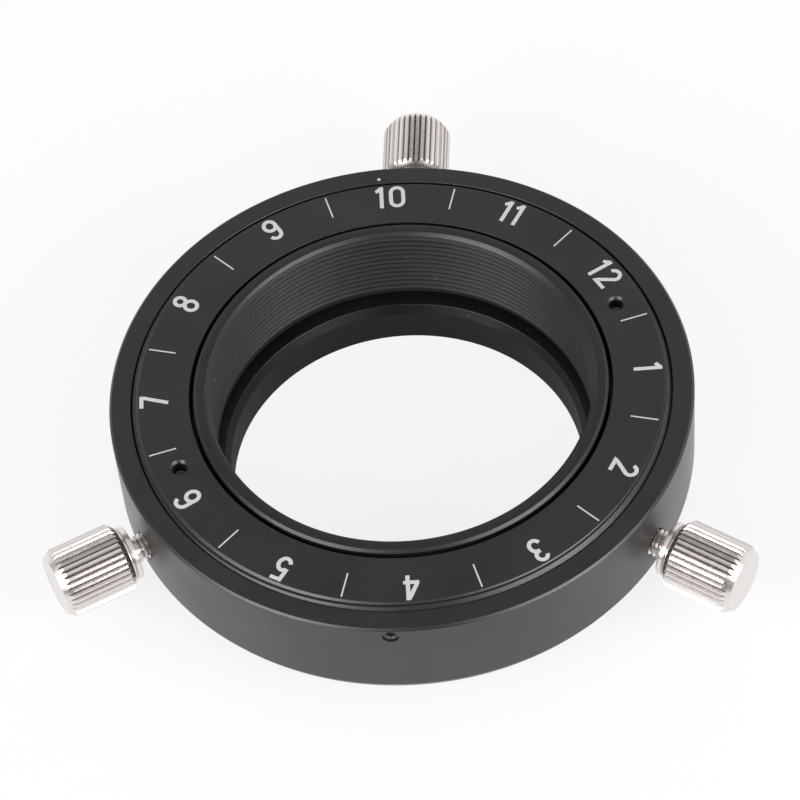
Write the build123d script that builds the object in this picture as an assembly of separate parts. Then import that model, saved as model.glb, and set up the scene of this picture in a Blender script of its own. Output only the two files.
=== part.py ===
"""Manual rotation mount for a camera or eyepiece on a telescope.

A threaded rotor turns inside an outer housing and is held down by a numbered
dial ring, which screws into the mouth of the housing and is locked there by
grub screws. Three thumbscrews press shoes into the rotor's V groove.

Millimetres. +Z is the optical axis, towards the dial. The origin is on the
axis, at the lower end of the male barrel.
"""
from build123d import *
import math
import os

# ---------------------------------------------------------------- dimensions
# Optical threads (M42 x 0.75 on both ends)
OPTICAL_THREAD = 42.0          # nominal diameter of both optical threads
OPTICAL_PITCH = 0.75

# Male barrel and housing
BARREL_WALL = 1.6              # from the crest of the male thread to the clear aperture
BARREL_LENGTH = 3.45           # thread below the hub
BARREL_LEAD = 0.4              # chamfer on the end of the male thread
HOUSING_HEIGHT = 11.0          # outer skirt, without the hub and the barrel
HUB_STEP = 5.5                 # from the skirt in to the hub, which seats on the telescope
HUB_HEIGHT = 1.0               # from the skirt down to the seat
MOUTH_WALL = 2.5               # housing wall outside the thread that holds the dial
CAVITY_STEP = 1.2              # from that thread in to the rotor's cavity
SEAT_RELIEF_WIDTH = 0.6        # face groove in the hub's seat, where the male thread runs out
SEAT_RELIEF_DEPTH = 0.5
SKIRT_BEVEL_WIDTH = 0.5        # long bevel round the foot of the skirt
SKIRT_BEVEL_HEIGHT = 1.0
TOP_CHAMFER = 0.25
FLOOR_THICKNESS = 1.6          # over the hub
FLOOR_LEAD_WIDTH = 0.52        # steep lead into the clear aperture
FLOOR_LEAD_HEIGHT = 1.0
LEDGE_HEIGHT = 0.9             # from the floor up to the rotor's ledge
LEDGE_WIDTH = 4.3              # in from the wall of the cavity

# Dial ring
DIAL_WIDTH = 6.2               # from the bore to the nominal radius of the thread (M58 x 0.75)
DIAL_PITCH = 0.75
DIAL_THICKNESS = 3.2
DIAL_STAND = 0.5               # how far the dial stands above the housing
DIAL_GAP = 0.45                # from the rotor's neck to the bore
DIAL_CHAMFER = 0.52
SPANNER_INSET = 2.75           # pin-spanner holes, out from the bore
SPANNER_HOLE = 1.5
SPANNER_DEPTH = 1.6
SPANNER_SINK = 2.0             # countersink diameter
SPANNER_ANGLE = 25.2

# Rotor
NECK_WALL = 1.35               # outside the nominal radius of the female thread
NECK_STAND = 0.4               # how far the neck stands above the dial
NECK_CHAMFER = 0.3
NECK_LEAD = 0.5                # lead into the female thread
GROOVE_DEPTH = 1.3             # 90 degree V groove for the shoes

# Slip rings
SLIP_THICKNESS = 0.3
SLIP_MARGIN = 0.3              # in from the edges of what carries it

# Thumbscrews and shoes
SCREW_COUNT = 3
SCREW_FIRST_ANGLE = 90.0
SCREW_RISE = 2.25              # axis above the foot of the rotor
SCREW_THREAD = 3.0             # M3 x 0.5
SCREW_STANDOFF = 1.55          # collar to housing when the screw is tight
SCREW_BACKED_OUT = (0.9, 0.0, 0.0)
COLLAR_DIAMETER = 6.0
COLLAR_THICKNESS = 0.6
UNDERCUT_WIDTH = 0.35
UNDERCUT_DIAMETER = 5.0
HEAD_DIAMETER = 7.7
HEAD_LENGTH = 8.0
HEAD_INNER_CHAMFER = 0.6
HEAD_BEVEL_WIDTH = 0.56
HEAD_BEVEL_LENGTH = 1.0
KNURL_COUNT = 36
KNURL_DEPTH = 0.32
KNURL_FLAT = 0.26              # land left between two V cuts
SHOE_LENGTH = 2.4
SHOE_TIP_FLAT = 0.8            # diameter of the flat on the cone

# Dial grub screws
GRUB_THREAD = 2.0              # M2
GRUB_DROP = 1.7                # axis below the face of the dial
GRUB_RECESS = 0.25             # outer end below the housing wall
GRUB_SOCKET = 0.9              # hexagon across flats
GRUB_SOCKET_DEPTH = 0.9

# Index mark, a shallow drilled spot in the top face of the housing
INDEX_ANGLE = 96.75
INDEX_INSET = 1.7              # in from the wall of the housing
INDEX_DIAMETER = 0.6
INDEX_DEPTH = 0.15

# Clearances
THREAD_CLEARANCE = 0.05        # radial, between plain cylinders that stand for threads
RUNNING_CLEARANCE = 0.06       # radial, rotor in housing
FACE_CLEARANCE = 0.05          # rotor to slip rings
SHOE_CLEARANCE = 0.08          # radial, shoe in its tapped hole
SEAT_CLEARANCE = 0.06          # shoe to groove, screw to shoe


def thread_depth(pitch):
    """Height of a 60 degree thread, from crest to root."""
    return 0.5413 * pitch


# ------------------------------------------------------------ derived places
HUB_Z = BARREL_LENGTH
SKIRT_Z = HUB_Z + HUB_HEIGHT
TOP_Z = SKIRT_Z + HOUSING_HEIGHT
DIAL_TOP_Z = TOP_Z + DIAL_STAND
DIAL_FOOT_Z = DIAL_TOP_Z - DIAL_THICKNESS
NECK_TOP_Z = DIAL_TOP_Z + NECK_STAND
FLOOR_Z = HUB_Z + FLOOR_THICKNESS
LEDGE_Z = FLOOR_Z + LEDGE_HEIGHT
GRUB_Z = DIAL_TOP_Z - GRUB_DROP

MALE_R = OPTICAL_THREAD / 2
FEMALE_R = OPTICAL_THREAD / 2 - thread_depth(OPTICAL_PITCH)
APERTURE_R = MALE_R - BARREL_WALL
NECK_R = OPTICAL_THREAD / 2 + NECK_WALL
DIAL_BORE_R = NECK_R + DIAL_GAP
DIAL_THREAD_R = DIAL_BORE_R + DIAL_WIDTH
DIAL_RIM_R = DIAL_THREAD_R - thread_depth(DIAL_PITCH) / 2
DIAL_SEAT_R = DIAL_RIM_R + THREAD_CLEARANCE
CAVITY_R = DIAL_THREAD_R - CAVITY_STEP
LEDGE_R = CAVITY_R - LEDGE_WIDTH
ROTOR_R = CAVITY_R - RUNNING_CLEARANCE
HOUSING_R = DIAL_THREAD_R + MOUTH_WALL
HUB_R = HOUSING_R - HUB_STEP

LOWER_SLIP_TOP_Z = LEDGE_Z + SLIP_THICKNESS
ROTOR_FOOT_Z = LOWER_SLIP_TOP_Z + FACE_CLEARANCE
UPPER_SLIP_FOOT_Z = DIAL_FOOT_Z - SLIP_THICKNESS
ROTOR_SHOULDER_Z = UPPER_SLIP_FOOT_Z - FACE_CLEARANCE
SCREW_Z = ROTOR_FOOT_Z + SCREW_RISE

SCREW_R = SCREW_THREAD / 2
SCREW_HOLE_R = SCREW_R + THREAD_CLEARANCE
SHOE_R = SCREW_HOLE_R - SHOE_CLEARANCE
GROOVE_ROOT_R = ROTOR_R - GROOVE_DEPTH
SHOE_TIP_R = GROOVE_ROOT_R + SHOE_TIP_FLAT / 2 + SEAT_CLEARANCE
SCREW_TAIL_R = SHOE_TIP_R + SHOE_LENGTH + SEAT_CLEARANCE

SCREW_NAMES = ("rear", "left", "right")
GRUB_NAMES = ("front", "rear_right", "rear_left")


# ------------------------------------------------------------------- helpers
def turned(*profile):
    """A solid of revolution about Z from (radius, height) points."""
    return revolve(Plane.XZ * make_face(Polyline(*profile, close=True)), axis=Axis.Z)


def at_radius(solid, angle, height):
    """Lay a solid that was made along +Z out along a radius, at an angle and height."""
    return Rot(0, 0, angle) * Pos(0, 0, height) * Rot(0, 90, 0) * solid


def rod(radius, start, end):
    """A plain cylinder along +Z from start to end."""
    return Pos(0, 0, start) * Cylinder(radius, end - start, align=(Align.CENTER, Align.CENTER, Align.MIN))


def screw_angle(index):
    return SCREW_FIRST_ANGLE + 360 / SCREW_COUNT * index


def grub_angle(index):
    """Each grub screw stands opposite a thumbscrew."""
    return screw_angle(index) + 180


# -------------------------------------------------------------------- pieces
def make_housing():
    seat_foot = DIAL_FOOT_Z - FACE_CLEARANCE
    body = turned(
        (APERTURE_R, 0),
        (MALE_R - BARREL_LEAD, 0),
        (MALE_R, BARREL_LEAD),
        (MALE_R, HUB_Z + SEAT_RELIEF_DEPTH),
        (MALE_R + SEAT_RELIEF_WIDTH, HUB_Z + SEAT_RELIEF_DEPTH),
        (MALE_R + SEAT_RELIEF_WIDTH, HUB_Z),
        (HUB_R, HUB_Z),
        (HUB_R, SKIRT_Z),
        (HOUSING_R - SKIRT_BEVEL_WIDTH, SKIRT_Z),
        (HOUSING_R, SKIRT_Z + SKIRT_BEVEL_HEIGHT),
        (HOUSING_R, TOP_Z - TOP_CHAMFER),
        (HOUSING_R - TOP_CHAMFER, TOP_Z),
        (DIAL_SEAT_R, TOP_Z),
        (DIAL_SEAT_R, seat_foot),
        (CAVITY_R, seat_foot),
        (CAVITY_R, LEDGE_Z),
        (LEDGE_R, LEDGE_Z),
        (LEDGE_R, FLOOR_Z),
        (APERTURE_R + FLOOR_LEAD_WIDTH, FLOOR_Z),
        (APERTURE_R, FLOOR_Z - FLOOR_LEAD_HEIGHT),
    )
    reach = HOUSING_R + TOP_CHAMFER
    screw_hole = rod(SCREW_HOLE_R, CAVITY_R - SCREW_R, reach)
    grub_hole = rod(GRUB_THREAD / 2 + THREAD_CLEARANCE, DIAL_RIM_R - GRUB_THREAD / 2, reach)
    body -= [at_radius(screw_hole, screw_angle(i), SCREW_Z) for i in range(SCREW_COUNT)]
    body -= [at_radius(grub_hole, grub_angle(i), GRUB_Z) for i in range(SCREW_COUNT)]
    index = rod(INDEX_DIAMETER / 2, TOP_Z - INDEX_DEPTH, TOP_Z)
    return body - Rot(0, 0, INDEX_ANGLE) * Pos(HOUSING_R - INDEX_INSET, 0, 0) * index


def make_dial_ring():
    ring = turned(
        (DIAL_BORE_R, DIAL_FOOT_Z),
        (DIAL_RIM_R, DIAL_FOOT_Z),
        (DIAL_RIM_R, DIAL_TOP_Z - DIAL_CHAMFER),
        (DIAL_RIM_R - DIAL_CHAMFER, DIAL_TOP_Z),
        (DIAL_BORE_R, DIAL_TOP_Z),
    )
    hole = Pos(DIAL_BORE_R + SPANNER_INSET, 0, DIAL_TOP_Z) * spanner_hole()
    return ring - [Rot(0, 0, SPANNER_ANGLE + turn) * hole for turn in (0, 180)]


def spanner_hole():
    """A drilled blind hole with a 90 degree countersink, hanging down from the origin."""
    radius = SPANNER_HOLE / 2
    mouth = SPANNER_SINK / 2
    return turned(
        (0, 0),
        (mouth, 0),
        (radius, radius - mouth),
        (radius, -SPANNER_DEPTH),
        (0, -SPANNER_DEPTH),
    )


def make_rotor_ring():
    return turned(
        (FEMALE_R, ROTOR_FOOT_Z),
        (ROTOR_R, ROTOR_FOOT_Z),
        (ROTOR_R, SCREW_Z - GROOVE_DEPTH),
        (GROOVE_ROOT_R, SCREW_Z),
        (ROTOR_R, SCREW_Z + GROOVE_DEPTH),
        (ROTOR_R, ROTOR_SHOULDER_Z),
        (NECK_R, ROTOR_SHOULDER_Z),
        (NECK_R, NECK_TOP_Z - NECK_CHAMFER),
        (NECK_R - NECK_CHAMFER, NECK_TOP_Z),
        (FEMALE_R + NECK_LEAD, NECK_TOP_Z),
        (FEMALE_R, NECK_TOP_Z - NECK_LEAD),
    )


def make_slip_ring(inner, outer, foot):
    top = foot + SLIP_THICKNESS
    return turned((inner, foot), (outer, foot), (outer, top), (inner, top))


def on_circle(radius, angle):
    """Point at a radius and an angle in degrees."""
    return (radius * math.cos(math.radians(angle)), radius * math.sin(math.radians(angle)))


def make_frustum(radius, start, narrowing, end):
    """A prism that narrows from start to end, with one flat for each land of the knurl; radius goes to the flats."""
    step = 360 / KNURL_COUNT
    corner = radius / math.cos(math.radians(step / 2))
    outline = Polyline(*[on_circle(corner, step * i) for i in range(KNURL_COUNT)], close=True)
    length = abs(end - start)
    towards = (0, 0, 1 if end > start else -1)
    taper = math.degrees(math.atan2(narrowing, length))
    return extrude(Plane.XY.offset(start) * make_face(outline), length, dir=towards, taper=taper)


def make_head(foot, top):
    """The knurled head: a star of V cuts, bevelled at both ends on flats that line up with its lands."""
    crest = HEAD_DIAMETER / 2
    step = 360 / KNURL_COUNT
    land = math.degrees(KNURL_FLAT / HEAD_DIAMETER)
    points = []
    for i in range(KNURL_COUNT):
        points.append(on_circle(crest - KNURL_DEPTH, step * i))
        points.append(on_circle(crest, step * (i + 0.5) - land))
        points.append(on_circle(crest, step * (i + 0.5) + land))
    star = extrude(Plane.XY.offset(foot) * make_face(Polyline(*points, close=True)), top - foot)
    shoulder = foot + HEAD_INNER_CHAMFER
    bevel = top - HEAD_BEVEL_LENGTH
    envelope = make_frustum(crest, shoulder, HEAD_INNER_CHAMFER, foot)
    envelope += make_frustum(crest, shoulder, 0, bevel)
    envelope += make_frustum(crest, bevel, HEAD_BEVEL_WIDTH, top)
    return star & envelope


def make_thumbscrew(backed_out):
    """Along +Z, with the rotor's axis at zero."""
    tail = SCREW_TAIL_R + backed_out
    collar = HOUSING_R + SCREW_STANDOFF + backed_out
    undercut = collar + COLLAR_THICKNESS
    foot = undercut + UNDERCUT_WIDTH
    stem = turned(
        (0, tail),
        (SCREW_R, tail),
        (SCREW_R, collar),
        (COLLAR_DIAMETER / 2, collar),
        (COLLAR_DIAMETER / 2, undercut),
        (UNDERCUT_DIAMETER / 2, undercut),
        (UNDERCUT_DIAMETER / 2, foot),
        (0, foot),
    )
    return stem + make_head(foot, foot + HEAD_LENGTH)


def make_shoe(backed_out):
    """A brass plug with a conical tip that wedges in the rotor's groove."""
    tip = SHOE_TIP_R + backed_out
    heel = tip + SHOE_LENGTH
    flat = SHOE_TIP_FLAT / 2
    cone = SHOE_R - flat
    return turned((0, tip), (flat, tip), (SHOE_R, tip + cone), (SHOE_R, heel), (0, heel))


def make_grub_screw():
    inner = DIAL_RIM_R + FACE_CLEARANCE
    outer = HOUSING_R - GRUB_RECESS
    screw = rod(GRUB_THREAD / 2, inner, outer)
    hexagon = RegularPolygon(GRUB_SOCKET / 2, 6, major_radius=False)
    return screw - extrude(Plane.XY.offset(outer - GRUB_SOCKET_DEPTH) * hexagon, GRUB_SOCKET_DEPTH)


def make_parts():
    slip_r = CAVITY_R - SLIP_MARGIN
    parts = {
        "housing": make_housing(),
        "dial_ring": make_dial_ring(),
        "rotor_ring": make_rotor_ring(),
        "upper_slip_ring": make_slip_ring(DIAL_BORE_R + SLIP_MARGIN, slip_r, UPPER_SLIP_FOOT_Z),
        "lower_slip_ring": make_slip_ring(LEDGE_R + SLIP_MARGIN, slip_r, LEDGE_Z),
    }
    for i, place in enumerate(SCREW_NAMES):
        backed_out = SCREW_BACKED_OUT[i]
        parts["thumbscrew_" + place] = at_radius(make_thumbscrew(backed_out), screw_angle(i), SCREW_Z)
        parts["locking_shoe_" + place] = at_radius(make_shoe(backed_out), screw_angle(i), SCREW_Z)
    for i, place in enumerate(GRUB_NAMES):
        parts["dial_grub_screw_" + place] = at_radius(make_grub_screw(), grub_angle(i), GRUB_Z)
    return parts


os.makedirs("parts", exist_ok=True)
for name, part in make_parts().items():
    export_step(part, "parts/" + name + ".step")
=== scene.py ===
"""Looks for a manual rotation mount: a threaded rotor in a round housing, held
down by a numbered dial ring and locked by three knurled thumbscrews.

Metres, +Z along the optical axis. Sizes in the profiles are millimetres.
"""
import math
from functools import cache

import bpy
from bpy.props import FloatProperty, FloatVectorProperty, IntProperty, PointerProperty
from mathutils import Matrix, Vector


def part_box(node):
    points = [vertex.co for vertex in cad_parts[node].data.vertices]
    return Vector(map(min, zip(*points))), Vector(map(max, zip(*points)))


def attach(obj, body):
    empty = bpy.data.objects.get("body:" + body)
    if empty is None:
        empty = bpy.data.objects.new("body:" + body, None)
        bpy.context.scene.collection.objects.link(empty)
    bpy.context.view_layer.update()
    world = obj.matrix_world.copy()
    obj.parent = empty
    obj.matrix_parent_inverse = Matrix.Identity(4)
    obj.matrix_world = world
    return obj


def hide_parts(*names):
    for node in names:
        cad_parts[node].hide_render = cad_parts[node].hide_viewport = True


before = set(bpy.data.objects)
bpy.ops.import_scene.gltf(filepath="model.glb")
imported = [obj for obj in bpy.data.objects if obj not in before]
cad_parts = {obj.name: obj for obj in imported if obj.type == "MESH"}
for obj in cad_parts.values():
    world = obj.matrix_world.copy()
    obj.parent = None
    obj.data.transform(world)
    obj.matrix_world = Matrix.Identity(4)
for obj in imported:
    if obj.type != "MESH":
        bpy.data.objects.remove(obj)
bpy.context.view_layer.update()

bl_info = {
    "name": "Rotation mount",
    "version": (1, 0, 0),
    "blender": (4, 5, 0),
    "location": "3D View > Sidebar > Rotation mount",
    "description": "Builds a threaded rotation mount with a numbered dial and knurled thumbscrews",
    "category": "Mesh",
}

MM = 0.001
TURN = 2 * math.pi
AXIS_STEPS = 256            # segments round the optical axis
SCREW_ANGLES = {"rear": 90.0, "left": 210.0, "right": 330.0}
GRUB_ANGLES = {"front": 270.0, "rear_right": 30.0, "rear_left": 150.0}


def extent(node):
    """Radius, foot and top of a round node, in millimetres."""
    low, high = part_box(node)
    return high.x / MM, low.z / MM, high.z / MM


def along_y(node):
    """Both ends and the middle height of a screw that lies along Y, in millimetres."""
    low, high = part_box(node)
    return low.y / MM, high.y / MM, (low.z + high.z) / 2 / MM


HOUSING_R, _, HOUSING_TOP = extent("housing")
_, DIAL_FOOT, DIAL_TOP = extent("dial_ring")
ROTOR_R, ROTOR_FOOT, NECK_TOP = extent("rotor_ring")
SCREW_TAIL, SCREW_END, SCREW_Z = along_y("thumbscrew_rear")
GRUB_OUTER, _, GRUB_Z = along_y("dial_grub_screw_front")
GRUB_END = -GRUB_OUTER

BARREL_R = 21.0             # male thread below the housing
BORE_CREST_R = 20.594       # crests of the rotor's female thread
DIAL_BORE_R = 22.8
DIAL_RIM_R = 29.06
THUMBSCREW_R = 1.5
KNURL_R = 3.85
GRUB_R = 0.99
TICK_R = 26.57
SPANNER_HOLE_R, SPANNER_HOLE_ANGLE = 25.55, 25.2
INDEX_ANGLE, INDEX_INSET = 96.75, 1.7
INDEX_PLACE = (Matrix.Rotation(math.radians(INDEX_ANGLE), 4, "Z")
               @ Matrix.Translation(((HOUSING_R - INDEX_INSET) * MM, 0, 0)))
CAMERA_PLACE = Vector((27.087, -235.942, 319.278)) * MM
AT_ORIGIN = Matrix.Identity(4)
WHITE = (1, 1, 1)
DUST = (0.30, 0.30, 0.29, 1)


# ---------- settings
def length(name, description, default):
    """A length setting; its default is in millimetres."""
    return FloatProperty(name=name, description=description, default=default * MM, unit="LENGTH")


def angle(name, description, default):
    return FloatProperty(name=name, description=description, default=default, subtype="ANGLE", unit="ROTATION")


def colour(name, description, default):
    return FloatVectorProperty(name=name, description=description, default=default,
                               subtype="COLOR", size=3, min=0, max=1)


class HousingSettings(bpy.types.PropertyGroup):
    edge: length("Edge round", "Radius broken on each turned edge of the housing", 0.07)
    thread_pitch: length("Barrel thread pitch", "Pitch of the male thread below the housing", 0.75)
    thread_depth: length("Barrel thread depth", "Crest to root of the male thread", 0.406)
    hole_sink: length("Screw hole countersink", "Diameter of the countersink round each thumbscrew hole", 3.6)
    index_diameter: length("Index mark", "Diameter of the painted index spot", 0.47)


class DialSettings(bpy.types.PropertyGroup):
    edge: length("Edge round", "Radius broken on each turned edge of the dial", 0.05)
    thread_pitch: length("Rim thread pitch", "Pitch of the thread on the dial's rim", 0.75)
    thread_depth: length("Rim thread depth", "Crest to root of the thread on the dial's rim", 0.72)
    hours: IntProperty(name="Divisions", description="Numbers round the dial", default=12, min=1, max=12)
    first_angle: angle("Twelve at", "Angle of the number twelve from +X", math.radians(34.5))
    number_height: length("Number height", "Height of the engraved numbers", 3.1)
    number_radius: length("Number radius", "Distance from the axis to the middle of the numbers", 26.6)
    stroke: length("Number stroke", "Width of the strokes of the numbers", 0.44)
    tick_width: length("Tick width", "Width of the tick between two numbers", 0.16)
    tick_length: length("Tick length", "Length of the tick between two numbers", 3.0)


class RotorSettings(bpy.types.PropertyGroup):
    edge: length("Edge round", "Radius broken on each turned edge of the rotor", 0.06)
    thread_pitch: length("Thread pitch", "Pitch of the female thread in the rotor", 0.75)
    thread_depth: length("Thread depth", "Crest to root of the female thread", 0.406)
    thread_foot: length("Thread runs from", "Height of the thread's end above the rotor's foot", 0.7)


class ThumbscrewSettings(bpy.types.PropertyGroup):
    knurls: IntProperty(name="Knurls", description="V cuts round each head", default=36, min=12, max=80)
    knurl_depth: length("Knurl depth", "Depth of each V cut", 0.32)
    land: length("Land", "Flat left between two V cuts", 0.26)
    edge: length("Edge round", "Radius broken on the turned edges of the screw", 0.06)
    thread_pitch: length("Thread pitch", "Pitch of the screw's thread", 0.5)
    thread_depth: length("Thread depth", "Crest to root of the screw's thread", 0.27)


class GrubScrewSettings(bpy.types.PropertyGroup):
    socket: length("Socket", "Width across the flats of the hexagon socket", 0.9)
    turned_by: angle("Socket turned by", "Turn of the hexagon socket about the screw's axis", math.radians(12))
    edge: length("Edge round", "Radius broken on the turned edges of the grub screw", 0.04)
    thread_pitch: length("Thread pitch", "Pitch of the grub screw's thread", 0.4)
    thread_depth: length("Thread depth", "Crest to root of the grub screw's thread", 0.18)


class FinishSettings(bpy.types.PropertyGroup):
    anodised: colour("Anodised black", "Colour of the anodised aluminium", (0.0070, 0.0082, 0.0078))
    nickel: colour("Nickel", "Colour of the plated thumbscrews", (0.81, 0.762, 0.738))
    brass: colour("Brass", "Colour of the locking shoes", (0.80, 0.58, 0.28))
    slip: colour("Slip ring", "Colour of the plastic slip rings", (0.80, 0.80, 0.77))
    oxide: colour("Black oxide", "Colour of the grub screws", (0.085, 0.085, 0.09))
    marking: colour("Marking", "Colour of the numbers, ticks and index spot", (0.60, 0.605, 0.59))


class StudioSettings(bpy.types.PropertyGroup):
    sky: FloatProperty(name="Sky", description="Even light from all round", default=0.42, min=0, max=5)
    box: FloatProperty(name="Soft boxes", description="Radiance of the two soft boxes", default=6.6, min=0, max=50)
    floor_white: FloatProperty(
        name="Floor white", description="Share of plain white the floor shows the camera over its shadow",
        default=0.82, min=0, max=1)
    azimuth: angle("Camera azimuth", "Camera's turn about the axis", math.radians(6.6))
    elevation: angle("Camera elevation", "Camera's angle above the horizon", 0.91093)
    roll: angle("Camera roll", "Camera's turn about its own axis", -0.10056)
    lens: FloatProperty(name="Lens", description="Focal length in millimetres on a 36 mm sensor", default=161.46)


# ---------- plain geometry
def broken(profile, radius, closed=True):
    """A (radius, height) outline with a small arc at each sharp corner."""
    nearly_straight = math.radians(165)
    longest = 0.4           # share of a side that one corner may take
    made = []
    count = len(profile)
    for i, here in enumerate(profile):
        here = Vector(here)
        if not closed and i in (0, count - 1):
            made.append(tuple(here))
            continue
        back = Vector(profile[i - 1]) - here
        on = Vector(profile[(i + 1) % count]) - here
        bend = back.angle(on)
        if bend > nearly_straight:
            made.append(tuple(here))
            continue
        cut = min(radius / math.tan(bend / 2), longest * back.length, longest * on.length)
        start, end = here + back.normalized() * cut, here + on.normalized() * cut
        for t in (0, 1 / 3, 2 / 3, 1):
            made.append(tuple((1 - t) ** 2 * start + 2 * t * (1 - t) * here + t * t * end))
    return made


def new_mesh(name, verts, faces):
    mesh = bpy.data.meshes.new(name)
    mesh.from_pydata(verts, [], faces)
    face_outwards(mesh)
    return mesh


def lathe(name, profile, steps, closed=True):
    """Turns an outline in millimetres about Z. An open outline starts and ends on the axis."""
    rings = profile if closed else profile[1:-1]
    verts = []
    for radius, height in rings:
        for k in range(steps):
            a = TURN * k / steps
            verts.append((radius * math.cos(a) * MM, radius * math.sin(a) * MM, height * MM))
    faces = []
    for i in range(len(rings) if closed else len(rings) - 1):
        j = (i + 1) % len(rings)
        for k in range(steps):
            n = (k + 1) % steps
            faces.append((i * steps + k, i * steps + n, j * steps + n, j * steps + k))
    if not closed:
        foot, top = len(verts), len(verts) + 1
        verts += [(0, 0, profile[0][1] * MM), (0, 0, profile[-1][1] * MM)]
        end = (len(rings) - 1) * steps
        for k in range(steps):
            n = (k + 1) % steps
            faces += [(foot, n, k), (top, end + k, end + n)]
    return new_mesh(name, verts, faces)


def face_outwards(mesh):
    """Turns the faces round if the closed mesh is inside out."""
    mesh.update()
    volume = 0.0
    for polygon in mesh.polygons:
        corners = [mesh.vertices[v].co for v in polygon.vertices]
        for k in range(1, len(corners) - 1):
            volume += corners[0].dot(corners[k].cross(corners[k + 1]))
    if volume < 0:
        mesh.flip_normals()
    mesh.update()


def new_piece(name, mesh):
    piece = bpy.data.objects.new(name, mesh)
    bpy.context.scene.collection.objects.link(piece)
    return piece


def prism(name, outline, foot, top):
    """A closed upright prism from a counter-clockwise outline, in millimetres."""
    count = len(outline)
    verts = [(x * MM, y * MM, z * MM) for z in (foot, top) for x, y in outline]
    faces = [tuple(range(count - 1, -1, -1)), tuple(range(count, 2 * count))]
    faces += [(k, (k + 1) % count, count + (k + 1) % count, count + k) for k in range(count)]
    return new_mesh(name, verts, faces)


def turned_piece(name, profile, edge, steps=AXIS_STEPS, closed=True):
    """A piece turned about Z from an outline with broken edges."""
    return new_piece(name, lathe(name, broken(profile, edge / MM, closed), steps, closed))


def cutter_at(mesh, matrix=AT_ORIGIN):
    mesh.transform(matrix)
    face_outwards(mesh)
    return new_piece(mesh.name, mesh)


def turned_cutter(name, profile, steps, matrix=AT_ORIGIN):
    return cutter_at(lathe(name, profile, steps, closed=False), matrix)


def radial(direction, height):
    """Lays what was made along +Z out along a radius, at an angle in degrees and a height in millimetres."""
    return (Matrix.Rotation(math.radians(direction), 4, "Z") @ Matrix.Translation((0, 0, height * MM))
            @ Matrix.Rotation(math.radians(90), 4, "Y"))


# ---------- node trees
def feed(tree, made, inputs):
    """Sets a node's inputs; each one is a value, or the socket that it comes from."""
    for key, value in inputs.items():
        if isinstance(value, bpy.types.NodeSocket):
            tree.links.new(value, made.inputs[key])
        elif value is not None:
            made.inputs[key].default_value = value


def node(tree, kind, inputs=None, **settings):
    """Adds a node, eight to a row of the editor."""
    row, column = divmod(len(tree.nodes), 8)
    made = tree.nodes.new(kind)
    made.location = (220 * column, -320 * row)
    for key, value in settings.items():
        setattr(made, key, value)
    feed(tree, made, inputs or {})
    return made


def calc(tree, operation, result, *others):
    """Works through its operands from left to right; each is a number or a socket."""
    for other in others or (None,):
        result = node(tree, "ShaderNodeMath", {0: result, 1: other}, operation=operation).outputs[0]
    return result


def product(tree, *factors):
    return calc(tree, "MULTIPLY", *factors)


def point(tree, x=0.0, y=0.0, z=0.0):
    return node(tree, "ShaderNodeCombineXYZ", {0: x, 1: y, 2: z}).outputs[0]


# ---------- geometry nodes
def new_tree(name, **inputs):
    """A tree that takes a piece, its finish and the named inputs, and the sockets that give them."""
    tree = bpy.data.node_groups.new(name, "GeometryNodeTree")
    for kind, labels in {"Geometry": ["Geometry"], "Material": ["Finish"], **inputs}.items():
        for label in labels:
            tree.interface.new_socket(label, in_out="INPUT", socket_type="NodeSocket" + kind)
    tree.interface.new_socket("Geometry", in_out="OUTPUT", socket_type="NodeSocketGeometry")
    return tree, node(tree, "NodeGroupInput").outputs


def finish_tree(tree, geometry, finish):
    real = node(tree, "GeometryNodeRealizeInstances", {"Geometry": geometry})
    paint = node(tree, "GeometryNodeSetMaterial", {"Geometry": real.outputs[0], "Material": finish})
    node(tree, "NodeGroupOutput", {0: paint.outputs[0]})
    return tree


def cut_from(tree, given, cutter):
    """Ends a tree that takes a cutter away from the piece."""
    cut = node(tree, "GeometryNodeMeshBoolean", {"Mesh 1": given["Geometry"], "Mesh 2": cutter},
               operation="DIFFERENCE", solver="MANIFOLD")
    return finish_tree(tree, cut.outputs[0], given["Finish"])


def copies_round(tree, given, shape):
    """As many copies of a shape round Z as Count says, from First angle on."""
    points = node(tree, "GeometryNodePoints", {"Count": given["Count"]})
    index = node(tree, "GeometryNodeInputIndex")
    step = calc(tree, "DIVIDE", TURN, given["Count"])
    turned = calc(tree, "ADD", product(tree, index.outputs[0], step), given["First angle"])
    copies = node(tree, "GeometryNodeInstanceOnPoints",
                  {"Points": points.outputs[0], "Instance": shape, "Rotation": point(tree, z=turned)})
    return copies.outputs[0]


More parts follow.
